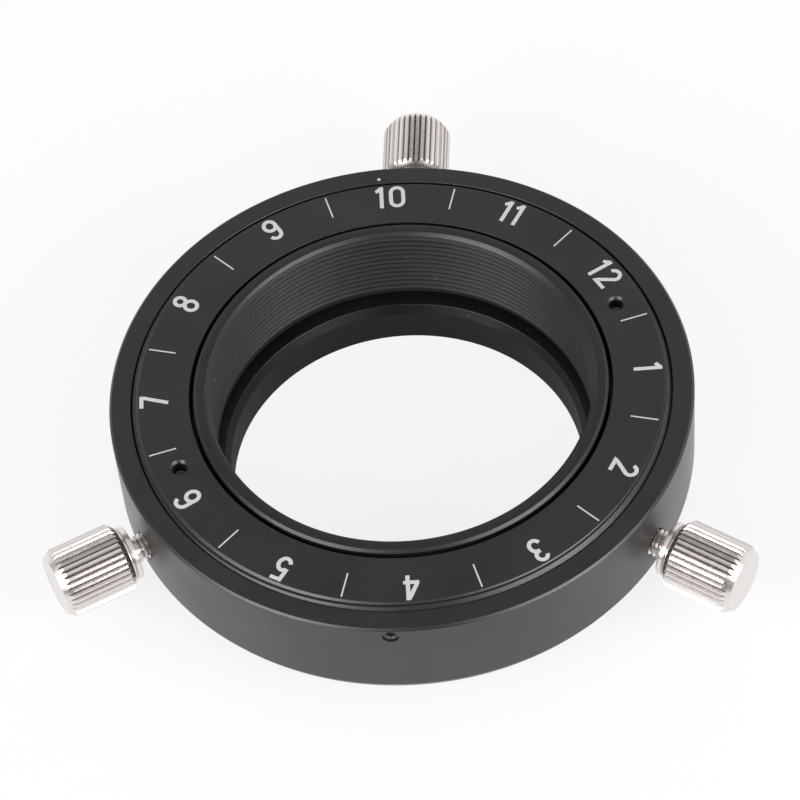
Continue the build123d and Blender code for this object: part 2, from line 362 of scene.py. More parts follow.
@cache
def cut_thread_tree():
    """Cuts a right-handed V thread. A positive depth cuts outward from a bore, a negative one inward from a shaft."""
    past_crest = 0.04 * MM
    root_half = 0.07        # share of the pitch
    tree, given = new_tree("Cut thread", Int=["Steps"], Float=[
        "Crest radius", "Depth", "Pitch", "Turns", "Foot", "Start angle", "Mouth"])
    side = calc(tree, "SIGN", given["Depth"])
    spiral = node(tree, "GeometryNodeCurveSpiral", {
        "Resolution": given["Steps"], "Rotations": given["Turns"],
        "Start Radius": given["Crest radius"], "End Radius": given["Crest radius"],
        "Height": product(tree, given["Pitch"], given["Turns"]), "Reverse": True})
    place = node(tree, "GeometryNodeTransform", {
        "Geometry": spiral.outputs[0], "Translation": point(tree, z=given["Foot"]),
        "Rotation": point(tree, z=given["Start angle"])})
    upright = node(tree, "GeometryNodeSetCurveNormal", {"Curve": place.outputs[0]}, mode="Z_UP")
    # Mouth is the V's width there as a share of the pitch
    mouth = product(tree, given["Pitch"], given["Mouth"], 0.5, side)
    root = product(tree, given["Pitch"], root_half, side)
    out = product(tree, side, -past_crest)
    corners = ((out, mouth), (out, product(tree, mouth, -1.0)),
               (given["Depth"], product(tree, root, -1.0)), (given["Depth"], root))
    profile = node(tree, "GeometryNodeCurvePrimitiveQuadrilateral",
                   {"Point %d" % i: point(tree, x, y) for i, (x, y) in enumerate(corners, 1)}, mode="POINTS")
    sweep = node(tree, "GeometryNodeCurveToMesh", {
        "Curve": upright.outputs[0], "Profile Curve": profile.outputs[0], "Fill Caps": True})
    return cut_from(tree, given, sweep.outputs[0])


@cache
def cut_round_tree():
    """Cuts the same shape out of a piece several times round Z."""
    tree, given = new_tree("Cut round the axis", Object=["Cutter"], Int=["Count"], Float=["First angle"])
    cutter = node(tree, "GeometryNodeObjectInfo", {"Object": given["Cutter"]})
    copies = copies_round(tree, given, cutter.outputs["Geometry"])
    real = node(tree, "GeometryNodeRealizeInstances", {"Geometry": copies})
    return cut_from(tree, given, real.outputs[0])


def ticks_tree():
    """Thin bars that lie round the dial and point at the axis."""
    tree, given = new_tree("Dial ticks", Int=["Count"], Float=[
        "First angle", "Radius", "Length", "Width", "Thickness", "Height"])
    bar = node(tree, "GeometryNodeMeshCube",
               {"Size": point(tree, given["Length"], given["Width"], given["Thickness"])})
    out = node(tree, "GeometryNodeTransform", {
        "Geometry": bar.outputs[0], "Translation": point(tree, x=given["Radius"], z=given["Height"])})
    both = node(tree, "GeometryNodeJoinGeometry", {0: given["Geometry"]})
    feed(tree, both, {0: copies_round(tree, given, out.outputs[0])})
    return finish_tree(tree, both.outputs[0], given["Finish"])


def add_nodes(piece, tree, finish, **values):
    """Adds a tree to a piece and sets its inputs by their sockets' identifiers."""
    modifier = piece.modifiers.new(tree.name, "NODES")
    modifier.node_group = tree
    values["Finish"] = finish
    sockets = {item.name: item.identifier for item in tree.interface.items_tree
               if item.item_type == "SOCKET" and item.in_out == "INPUT"}
    for label, value in values.items():
        modifier[sockets[label.replace("_", " ")]] = value


def bake(piece, cutters=()):
    """Turns a piece and its modifiers into one plain mesh, and removes the cutters."""
    graph = bpy.context.evaluated_depsgraph_get()
    graph.update()
    mesh = bpy.data.meshes.new_from_object(piece.evaluated_get(graph), preserve_all_data_layers=True,
                                           depsgraph=graph)
    old = piece.data
    piece.modifiers.clear()
    piece.data = mesh
    bpy.data.meshes.remove(old)
    mesh.name = piece.name
    for cutter in cutters:
        shape = cutter.data
        bpy.data.objects.remove(cutter)
        bpy.data.meshes.remove(shape)
    if not mesh.polygons:
        raise RuntimeError(piece.name + " came out empty")


def finish_piece(piece, *cutters, crease=32.0):
    """Bakes a piece and shades it smooth, but for creases above an angle in degrees."""
    bake(piece, cutters)
    shade(piece, crease)


def shade(piece, crease):
    """Smooth shading between the creases, weighted towards the large faces."""
    piece.data.shade_smooth()
    piece.data.set_sharp_from_angle(angle=math.radians(crease))
    weighted = piece.modifiers.new("Weighted normals", "WEIGHTED_NORMAL")
    weighted.keep_sharp = True
    weighted.mode = "FACE_AREA"
    weighted.weight = 80
    bake(piece)


def seat(piece, body, material_slot, *nodes):
    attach(piece, body)
    if nodes:
        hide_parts(*nodes)


# ---------- materials
def new_material(name):
    """A material, its tree and its shader, and the socket of a point's place in the piece."""
    material = bpy.data.materials.new(name)
    material.use_nodes = True
    tree = material.node_tree
    return material, tree, tree.nodes["Principled BSDF"], node(tree, "ShaderNodeTexCoord").outputs["Object"]


def noise(tree, vector, scale, detail=2.0, roughness=0.5):
    """Noise from 0 to 1; its scale is in waves to the metre."""
    inputs = {"Vector": vector, "Scale": scale, "Detail": detail, "Roughness": roughness}
    return node(tree, "ShaderNodeTexNoise", inputs).outputs["Fac"]


def spread(tree, value, low, high, to_low, to_high, **settings):
    """Maps low to to_low and high to to_high, and holds the ends."""
    inputs = {"Value": value, "From Min": low, "From Max": high, "To Min": to_low, "To Max": to_high}
    return node(tree, "ShaderNodeMapRange", inputs, **settings).outputs["Result"]


def blend(tree, factor, first, second):
    inputs = {"Factor": factor, "A": first, "B": second}
    return node(tree, "ShaderNodeMix", inputs, data_type="RGBA").outputs["Result"]


def bump(tree, shader, height, strength, distance, after=None):
    inputs = {"Height": height, "Strength": strength, "Distance": distance, "Normal": after}
    normal = node(tree, "ShaderNodeBump", inputs).outputs[0]
    feed(tree, shader, {"Normal": normal})
    return normal


def scaled(rgb, factor):
    """A colour made lighter or darker, with its alpha."""
    return (*(min(c * factor, 1.0) for c in rgb), 1)


def turned_coordinates(tree, place):
    """Radius and height about Z, so that a pattern runs round the axis as tool marks do."""
    x, y, z = node(tree, "ShaderNodeSeparateXYZ", {0: place}).outputs
    squares = calc(tree, "ADD", product(tree, x, x), product(tree, y, y))
    return point(tree, calc(tree, "SQRT", squares), 0.0, z)


def anodised_finish(name, rgb, roughness, ior=1.65, lint=None):
    """Satin black anodised aluminium over fine turning marks, with a few specks of dust.
    Lint gathers at the radius given, in millimetres."""
    material, tree, shader, place = new_material(name)
    turned = turned_coordinates(tree, place)
    grain = noise(tree, place, 8500, 3, 0.65)
    cloud = noise(tree, place, 140, 3)
    marks = noise(tree, turned, 5200, 2, 0.55)
    specks = node(tree, "ShaderNodeTexVoronoi", {"Vector": place, "Scale": 420}).outputs["Distance"]
    where = spread(tree, noise(tree, place, 210, 1), 0.56, 0.64, 0, 0.4)
    if lint is not None:
        radius = node(tree, "ShaderNodeSeparateXYZ", {0: turned}).outputs[0]
        away = calc(tree, "ABSOLUTE", calc(tree, "SUBTRACT", radius, lint * MM))
        near = spread(tree, away, 0.05 * MM, 0.3 * MM, 0.8, 0)
        tufts = spread(tree, noise(tree, place, 330, 1), 0.46, 0.56, 0, 1)
        where = calc(tree, "MAXIMUM", where, product(tree, near, tufts))
    dusty = product(tree, spread(tree, specks, 0.03, 0.07, 1, 0), where)
    base = blend(tree, grain, scaled(rgb, 0.75), scaled(rgb, 1.35))
    feed(tree, shader, {
        "Base Color": blend(tree, dusty, base, DUST),
        "Roughness": spread(tree, cloud, 0.3, 0.7, roughness - 0.03, roughness + 0.05),
        "IOR": ior})
    grained = bump(tree, shader, grain, 0.5, 0.035 * MM)
    bump(tree, shader, marks, 0.16, 0.015 * MM, after=grained)
    return material


def nickel_finish(name, rgb):
    """Bright nickel plate with painted shade deep in the knurl's valleys, and faint turning marks round the screw's
    own axis.
    """
    material, tree, shader, place = new_material(name)
    own = node(tree, "ShaderNodeUVMap", uv_map="turning").outputs[0]
    haze = noise(tree, place, 900, 4, 0.6)
    valley = node(tree, "ShaderNodeAttribute", attribute_name="valley").outputs["Fac"]
    bright = blend(tree, haze, scaled(rgb, 0.93), scaled(rgb, 1.05))
    feed(tree, shader, {
        # painted shade: the base colour darkens towards 0.09 of the nickel deep in the knurl's valleys
        "Base Color": blend(tree, spread(tree, valley, 0.52, 1.0, 0, 0.88), bright, scaled(rgb, 0.09)),
        "Roughness": spread(tree, haze, 0.3, 0.7, 0.23, 0.31),
        "Metallic": 1.0})
    bump(tree, shader, noise(tree, own, 9000), 0.12, 0.01 * MM)
    return material


def clouded_finish(name, rgb, cloud, shades, roughness, metallic, grain, strength, distance):
    """One colour with clouds in its shade and its roughness, over a fine grain.
    Cloud and grain are the scale, detail and roughness of a noise."""
    material, tree, shader, place = new_material(name)
    haze = noise(tree, place, *cloud)
    feed(tree, shader, {
        "Base Color": blend(tree, haze, *(scaled(rgb, shade) for shade in shades)),
        "Roughness": spread(tree, haze, 0.3, 0.7, *roughness),
        "Metallic": metallic})
    bump(tree, shader, noise(tree, place, *grain), strength, distance * MM)
    return material


def marking_finish(name, rgb):
    """Pale engraved marking, a little uneven where the anodising shows through."""
    material, tree, shader, place = new_material(name)
    wear = noise(tree, place, 5200, 3, 0.65)
    shown = spread(tree, wear, 0.25, 0.5, 0, 1)
    feed(tree, shader, {"Base Color": blend(tree, shown, scaled(rgb, 0.72), scaled(rgb, 1.06)), "Roughness": 0.62})
    bump(tree, shader, wear, 0.25, 0.01 * MM)
    return material


# ---------- pieces
def cut_thread(piece, finish, sizes, crest, side, foot, top, start, steps=AXIS_STEPS, mouth=0.92):
    """Side is 1 in a bore and -1 on a shaft. Crest, foot and top are in millimetres, start is in degrees."""
    pitch = sizes.thread_pitch
    add_nodes(piece, cut_thread_tree(), finish, Crest_radius=crest * MM, Depth=side * sizes.thread_depth,
              Pitch=pitch, Turns=(top - foot) * MM / pitch, Foot=foot * MM, Start_angle=math.radians(start),
              Steps=steps, Mouth=mouth)


def cut_round(piece, finish, cutter, count=1, first=0):
    """Takes away that many copies of a cutter, the first turned by an angle in degrees."""
    add_nodes(piece, cut_round_tree(), finish, Cutter=cutter, Count=count, First_angle=math.radians(first))


def housing_profile():
    """The whole section of the housing, from the barrel's foot and round by the outside."""
    wall, top, mouth, ledge = HOUSING_R, HOUSING_TOP, 29.15, DIAL_FOOT - 0.05
    return [
        # barrel, the groove round its root, and the seat
        (19.4, 0), (BARREL_R - 0.4, 0), (BARREL_R, 0.4), (BARREL_R, 3.95), (21.6, 3.95), (21.6, 3.45),
        (wall - 5.5, 3.45),
        # skirt with its bevelled foot, wall and rim
        (wall - 5.5, 4.45), (wall - 0.5, 4.45), (wall, 5.45), (wall, top - 0.25), (wall - 0.25, top),
        # mouth for the dial, and the cavity for the rotor
        (mouth + 0.08, top), (mouth, top - 0.08), (mouth, ledge), (27.8, ledge), (27.8, 5.95),
        # floor, and the ring that shows inside the bore
        (23.5, 5.95), (23.5, 5.05), (19.92, 5.05), (19.4, 4.05),
    ]


class MakeHousing(bpy.types.Operator):
    """Turn the housing, cut its barrel thread and drill its screw holes"""
    bl_idname = "rotation_mount.make_housing"
    bl_label = "Make housing"

    def execute(self, context):
        sizes, finishes = context.scene.mount_housing, context.scene.mount_finish
        black = anodised_finish("housing black anodised", finishes.anodised[:], 0.33)
        piece = turned_piece("housing_turned", housing_profile(), sizes.edge)
        cut_thread(piece, black, sizes, BARREL_R, -1, foot=-0.35, top=3.4, start=40)
        beyond = HOUSING_R + 1
        sink, bore = sizes.hole_sink / MM / 2, 1.55
        screw_cutter = turned_cutter("screw hole", [
            (0, 26.5), (bore, 26.5), (bore, HOUSING_R - (sink - bore) * 0.7), (sink, HOUSING_R - 0.02),
            (sink, beyond), (0, beyond)], 48, radial(0, SCREW_Z))
        neck, root = 0.9, 1.0
        mouth = GRUB_R - 0.13
        grub_cutter = turned_cutter("grub hole", [
            (0, 28.3), (neck, 28.3), (neck, 29.75), (root, 29.88), (root, GRUB_END - 0.14), (mouth, GRUB_END),
            (mouth, beyond), (0, beyond)], 40, radial(0, GRUB_Z))
        spot = sizes.index_diameter / MM / 2
        floor, above = HOUSING_TOP - 0.1, HOUSING_TOP + 0.2
        spot_cutter = turned_cutter("index recess", [
            (0, floor), (spot * 0.8, floor), (spot + 0.03, above), (0, above)], 32, INDEX_PLACE)
        cut_round(piece, black, screw_cutter, 3, SCREW_ANGLES["rear"])
        cut_round(piece, black, grub_cutter, 3, GRUB_ANGLES["front"])
        cut_round(piece, black, spot_cutter)
        finish_piece(piece, screw_cutter, grub_cutter, spot_cutter)
        seat(piece, "housing", "housing_anodised", "housing")
        return {"FINISHED"}


class MakeDialRing(bpy.types.Operator):
    """Turn the dial ring, cut the thread on its rim and drill its pin-spanner holes"""
    bl_idname = "rotation_mount.make_dial_ring"
    bl_label = "Make dial ring"

    def execute(self, context):
        sizes, finishes = context.scene.mount_dial, context.scene.mount_finish
        black = anodised_finish("dial black anodised", finishes.anodised[:], 0.34, lint=DIAL_BORE_R + 0.05)
        rim, bevel = DIAL_RIM_R, 0.72
        piece = turned_piece("dial_ring_turned", [
            (DIAL_BORE_R, DIAL_FOOT), (rim - 0.3, DIAL_FOOT), (rim, DIAL_FOOT + 0.3), (rim, DIAL_TOP - bevel),
            (rim - bevel, DIAL_TOP), (DIAL_BORE_R, DIAL_TOP)], sizes.edge)
        first_groove, turns = DIAL_TOP - 0.27, 5
        foot = first_groove - turns * sizes.thread_pitch / MM
        cut_thread(piece, black, sizes, rim, -1, foot, top=DIAL_TOP + 0.5, start=276.6, mouth=0.44)
        hole, sink = 0.75, 1.25
        cutter = turned_cutter("spanner hole", [
            (0, DIAL_TOP - 2.0), (hole, DIAL_TOP - 1.6), (hole, DIAL_TOP - 0.25), (sink, DIAL_TOP + 0.25),
            (0, DIAL_TOP + 0.25)], 40, Matrix.Translation((SPANNER_HOLE_R * MM, 0, 0)))
        cut_round(piece, black, cutter, 2, SPANNER_HOLE_ANGLE)
        finish_piece(piece, cutter)
        seat(piece, "housing", "dial_anodised", "dial_ring")
        return {"FINISHED"}


class MakeRotor(bpy.types.Operator):
    """Turn the rotor with its V groove and cut the female thread"""
    bl_idname = "rotation_mount.make_rotor"
    bl_label = "Make rotor"

    def execute(self, context):
        sizes, finishes = context.scene.mount_rotor, context.scene.mount_finish
        black = anodised_finish("rotor black anodised", finishes.anodised[:], 0.34, ior=1.56)
        crest, flange, neck, flange_top, groove = BORE_CREST_R, ROTOR_R, 22.35, 12.4, 1.3
        piece = turned_piece("rotor_turned", [
            (crest + 0.3, ROTOR_FOOT), (flange - 0.3, ROTOR_FOOT), (flange, ROTOR_FOOT + 0.3),
            (flange, SCREW_Z - groove), (flange - groove, SCREW_Z), (flange, SCREW_Z + groove),
            (flange, flange_top - 0.3), (flange - 0.3, flange_top), (neck, flange_top),
            (neck, NECK_TOP - 0.3), (neck - 0.3, NECK_TOP), (crest + 0.5, NECK_TOP), (crest, NECK_TOP - 0.5),
            (crest, ROTOR_FOOT + 0.3)], sizes.edge)
        foot = ROTOR_FOOT + sizes.thread_foot / MM
        cut_thread(piece, black, sizes, crest, 1, foot, top=NECK_TOP + 0.4, start=200)
        finish_piece(piece)
        seat(piece, "rotor", "rotor_anodised", "rotor_ring")
        return {"FINISHED"}


# strokes of each number in a box NUMBER_BOX high, as centre lines;
# a point is (x, y), an arc is (centre x, centre y, radius x, radius y, from, to)
NUMBER_BOX = 3.1
NUMBER_GAP = 0.62
ELEVEN_CLOSER = 0.1         # how much closer the two ones of 11 stand
NUMBER_WIDTHS = {"0": 1.81, "1": 0.92, "2": 1.72, "3": 1.61, "4": 1.65,
                 "5": 1.63, "6": 1.72, "7": 1.61, "8": 1.73, "9": 1.72}
NUMBERS = {
    "0": [[(0.905, 2.17, 0.685, 0.71, 180, 0), (0.905, 0.93, 0.685, 0.71, 0, -180), "close"]],
    "1": [[(0.70, 0), (0.70, 3.1)], [(0.05, 2.42), (0.34, 2.56), (0.56, 2.88)]],
    "2": [[(0.86, 2.22, 0.64, 0.66, 172, -22), (0.36, 0.50), (0.24, 0.22), (1.72, 0.22)]],
    "3": [[(0.79, 2.27, 0.57, 0.61, 165, -62), (0.62, 1.66)],
          [(0.62, 1.64), (0.79, 0.93, 0.60, 0.71, 72, -165)]],
    "4": [[(1.18, 0), (1.18, 3.1)], [(1.08, 2.95), (0.16, 0.92)], [(0.0, 0.88), (1.65, 0.88)]],
    "5": [[(1.50, 2.88), (0.36, 2.88)], [(0.40, 3.1), (0.28, 1.42)], [(0.80, 0.98, 0.61, 0.76, 140, -162)]],
    "6": [[(0.86, 0.93, 0.64, 0.71, 0, 360), "close"],
          [(0.86, 2.22, 0.64, 0.66, 15, 180), (0.22, 0.93)]],
    "7": [[(0.0, 2.88), (1.61, 2.88)], [(1.40, 2.72), (0.56, 0.0)]],
    "8": [[(0.865, 2.28, 0.57, 0.60, 0, 360), "close"], [(0.865, 0.92, 0.645, 0.70, 0, 360), "close"]],
    "9": [[(0.86, 2.17, 0.64, 0.71, 0, 360), "close"],
          [(0.86, 0.88, 0.64, 0.66, 195, 360), (1.50, 2.17)]],
}


def centre_line(steps):
    """Points of one stroke, and whether it closes on itself."""
    points, closed = [], False
    for step in steps:
        if step == "close":
            closed = True
        elif len(step) > 2:
            cx, cy, rx, ry, start, end = step
            count = max(6, int(abs(end - start) / 9))
            full = abs(end - start) == 360
            for k in range(count if full else count + 1):
                a = math.radians(start + (end - start) * k / count)
                points.append(Vector((cx + rx * math.cos(a), cy + ry * math.sin(a))))
        else:
            points.append(Vector(step))
    return points, closed


def stroke_mesh(points, closed, width, foot, top):
    """Vertices and faces of one stroke of even width, with square ends and mitred corners."""
    least_lean = 0.45       # keeps a mitre from running far out at a sharp corner
    count = len(points)
    left, right = [], []
    for i, here in enumerate(points):
        back = points[i - 1] if closed or i else None
        on = points[(i + 1) % count] if closed or i < count - 1 else None
        a = (here - back).normalized() if back is not None else (on - here).normalized()
        b = (on - here).normalized() if on is not None else a
        sideways = Vector((-(a + b).y, (a + b).x)).normalized()
        reach = width / 2 / max(sideways.dot(Vector((-a.y, a.x))), least_lean)
        left.append(here + sideways * reach)
        right.append(here - sideways * reach)
    verts = [(p.x, p.y, z) for z in (foot, top) for side in (left, right) for p in side]
    l0, r0, l1, r1 = 0, count, 2 * count, 3 * count
    faces = []
    for k in range(count if closed else count - 1):
        n = (k + 1) % count
        faces += [(l0 + k, l0 + n, r0 + n, r0 + k), (l1 + n, l1 + k, r1 + k, r1 + n),
                  (l1 + k, l1 + n, l0 + n, l0 + k), (r0 + k, r0 + n, r1 + n, r1 + k)]
    if not closed:
        e = count - 1
        faces += [(l0, r0, r1, l1), (r0 + e, l0 + e, l1 + e, r1 + e)]
    return verts, faces


class MakeMarkings(bpy.types.Operator):
    """Lay the numbers, the ticks and the index spot"""
    bl_idname = "rotation_mount.make_markings"
    bl_label = "Make markings"

    def execute(self, context):
        paint = marking_finish("pale marking", context.scene.mount_finish.marking[:])
        self.numbers(context.scene.mount_dial, paint)
        self.ticks(context.scene.mount_dial, paint)
        self.index(context.scene.mount_housing, paint)
        return {"FINISHED"}

    def numbers(self, sizes, paint):
        scale = sizes.number_height / MM / NUMBER_BOX
        verts, faces = [], []
        for hour in range(1, sizes.hours + 1):
            digits = str(hour)
            widths = [NUMBER_WIDTHS[d] for d in digits]
            gap = NUMBER_GAP - (ELEVEN_CLOSER if digits == "11" else 0)
            turned = sizes.first_angle - TURN * hour / sizes.hours
            place = (Matrix.Rotation(turned - math.pi / 2, 4, "Z")
                     @ Matrix.Translation((0, sizes.number_radius, 0))
                     @ Matrix.Diagonal((MM * scale, MM * scale, MM, 1)))
            x = -(sum(widths) + gap * (len(digits) - 1)) / 2
            for digit, width in zip(digits, widths):
                for i, steps in enumerate(NUMBERS[digit]):
                    points, closed = centre_line(steps)
                    points = [p + Vector((x, -NUMBER_BOX / 2)) for p in points]
                    # no two strokes share a plane
                    top = DIAL_TOP + (0.006 + 0.002 * i)
                    made, sides = stroke_mesh(points, closed, sizes.stroke / MM / scale, DIAL_TOP - 0.03, top)
                    start = len(verts)
                    verts += [place @ Vector(v) for v in made]
                    faces += [tuple(start + v for v in side) for side in sides]
                x += width + gap
        mesh = new_mesh("dial_numbers", verts, faces)
        mesh.materials.append(paint)
        seat(new_piece("dial_numbers", mesh), "housing", "dial_anodised")

    def ticks(self, sizes, paint):
        piece = new_piece("dial_ticks", bpy.data.meshes.new("dial_ticks"))
        add_nodes(piece, ticks_tree(), paint, Count=sizes.hours, Radius=TICK_R * MM, Length=sizes.tick_length,
                  First_angle=sizes.first_angle - TURN / sizes.hours / 2, Width=sizes.tick_width,
                  Thickness=0.03 * MM, Height=(DIAL_TOP - 0.008) * MM)
        bake(piece)
        seat(piece, "housing", "dial_anodised")

    def index(self, sizes, paint):
        radius = sizes.index_diameter / MM / 2
        foot = HOUSING_TOP - 0.12
        mesh = lathe("index_spot", [
            (0, foot), (radius * 0.75, foot), (radius * 0.9, HOUSING_TOP - 0.03), (radius * 0.6, HOUSING_TOP - 0.015),
            (0, HOUSING_TOP - 0.02)], 32, closed=False)
        mesh.transform(INDEX_PLACE)
        mesh.materials.append(paint)
        seat(new_piece("index_spot", mesh), "housing", "housing_anodised")


class MakeThumbscrews(bpy.types.Operator):
    """Turn, thread and knurl the three thumbscrews"""
    bl_idname = "rotation_mount.make_thumbscrews"
    bl_label = "Make thumbscrews"

    def execute(self, context):
        sizes, finishes = context.scene.mount_thumbscrew, context.scene.mount_finish
        nickel = nickel_finish("bright nickel", finishes.nickel[:])
        # heights here go from the screw's tail
        end = SCREW_END - SCREW_TAIL
        foot = end - 8.0
        collar = foot - 0.95
        shank, crest, collar_r, undercut = THUMBSCREW_R, KNURL_R, 3.0, 2.5
        profile = [
            (0, 0), (shank - 0.3, 0), (shank, 0.3), (shank, collar), (collar_r, collar), (collar_r, collar + 0.6),
            (undercut, collar + 0.6), (undercut, foot), (crest - 0.6, foot), (crest, foot + 0.6), (crest, end - 1.0),
            (crest - 0.56, end), (0, end),
        ]
        depth, beyond, root_half = sizes.knurl_depth / MM, 0.3, 0.015
        half = (TURN * crest / sizes.knurls - sizes.land / MM) / 2 * (1 + beyond / depth)
        wedge = [(crest - depth, -root_half), (crest + beyond, -half), (crest + beyond, half),
                 (crest - depth, root_half)]
        for place, direction in SCREW_ANGLES.items():
            piece = turned_piece("thumbscrew_%s_knurled" % place, profile, sizes.edge, 144, closed=False)
            cut_thread(piece, nickel, sizes, shank, -1, foot=0.35, top=collar - 0.30, start=70, steps=48)
            cutter = cutter_at(prism("knurl", wedge, foot - 0.05, end + 0.2))
            cut_round(piece, nickel, cutter, sizes.knurls)
            bake(piece, (cutter,))
            self.turning_map(piece.data)
            # depth in the knurl's valleys, for the shade painted into the nickel
            self.valleys(piece.data, crest, depth, foot)
            shade(piece, 25.0)
            node_name = "thumbscrew_" + place
            lift = Matrix.Translation((0, 0, self.tail(node_name, direction)))
            piece.data.transform(radial(direction, SCREW_Z) @ lift)
            seat(piece, place + "_thumbscrew", "thumbscrew_nickel", node_name)
        return {"FINISHED"}

    def tail(self, node_name, direction):
        """Distance in metres from the optical axis to the screw's tail."""
        out = Vector((math.cos(math.radians(direction)), math.sin(math.radians(direction)), 0))
        return min(v.co.dot(out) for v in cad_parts[node_name].data.vertices)

    def valleys(self, mesh, crest, depth, foot):
        """Marks how deep each corner of the knurl's flanks lies, from 0 to 1; the nickel finish paints shade in the
        valleys by it.
        """
        marks = mesh.attributes.new("valley", "FLOAT", "CORNER")
        for side in mesh.polygons:
            if abs(side.normal.z) < 0.1 and side.center.z / MM > foot:
                for i in side.loop_indices:
                    co = mesh.vertices[mesh.loops[i].vertex_index].co
                    marks.data[i].value = min(max((crest - math.hypot(co.x, co.y) / MM) / depth, 0), 1)

    def turning_map(self, mesh):
        """A UV map of radius and height, for tool marks round the screw."""
        layer = mesh.uv_layers.new(name="turning")
        for loop in mesh.loops:
            co = mesh.vertices[loop.vertex_index].co
            layer.uv[loop.index].vector = (math.hypot(co.x, co.y), co.z)


class MakeGrubScrews(bpy.types.Operator):
    """Turn the three grub screws with their points, threads and hexagon sockets"""
    bl_idname = "rotation_mount.make_grub_screws"
    bl_label = "Make grub screws"

    def execute(self, context):
        sizes, finishes = context.scene.mount_grub, context.scene.mount_finish
        worn = (1800, 4, 0.6)
        oxide = clouded_finish("black oxide", finishes.oxide[:], cloud=worn, shades=(0.7, 1.6), roughness=(0.32, 0.5),
                               metallic=0.6, grain=worn, strength=0.2, distance=0.02)
        # heights here are distances from the optical axis
        crest, neck, end = GRUB_R, GRUB_R - 0.13, GRUB_END
        profile = [(0, 28.9), (0.45, 28.9), (neck, 29.32), (neck, 29.78), (crest, 29.92), (crest, end - 0.16),
                   (crest - 0.17, end), (0, end)]
        corner = sizes.socket / MM / 2 / math.cos(math.pi / 6)
        hexagon = [(corner * math.cos(TURN * k / 6), corner * math.sin(TURN * k / 6)) for k in range(6)]
        for place, direction in GRUB_ANGLES.items():
            piece = turned_piece("grub_screw_%s_pointed" % place, profile, sizes.edge, 48, closed=False)
            cut_thread(piece, oxide, sizes, crest, -1, foot=29.7, top=end + 0.1, start=0, steps=32)
            socket = cutter_at(prism("hexagon socket", hexagon, end - 0.9, end + 0.3))
            sink = turned_cutter("socket sink", [
                (0, end - 0.2), (corner - 0.12, end - 0.2), (corner + 0.12, end + 0.04), (0, end + 0.04)], 32)
            cut_round(piece, oxide, socket, first=math.degrees(sizes.turned_by))
            cut_round(piece, oxide, sink)
            finish_piece(piece, socket, sink)
            piece.data.transform(radial(direction, GRUB_Z))
            seat(piece, "housing", "grub_screw_black_oxide", "dial_grub_screw_" + place)
        return {"FINISHED"}


class FinishInnerPieces(bpy.types.Operator):
    """Give the slip rings and the shoes their finishes"""
    bl_idname = "rotation_mount.finish_inner_pieces"
    bl_label = "Finish inner pieces"

    def execute(self, context):
        finishes = context.scene.mount_finish
        slip = clouded_finish("slip ring plastic", finishes.slip[:], cloud=(260, 3, 0.5), shades=(0.94, 1.03),
                              roughness=(0.48, 0.60), metallic=0.0, grain=(5000, 2, 0.5), strength=0.15, distance=0.01)
        brass = clouded_finish("turned brass", finishes.brass[:], cloud=(700, 4, 0.6), shades=(0.85, 1.05),
                               roughness=(0.24, 0.38), metallic=1.0, grain=(6000, 2, 0.5), strength=0.1, distance=0.01)
        for name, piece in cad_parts.items():
            finish = slip if "slip_ring" in name else brass if "shoe" in name else None
            if finish:
                for material_slot in piece.material_slots:
                    material_slot.material = finish
        return {"FINISHED"}


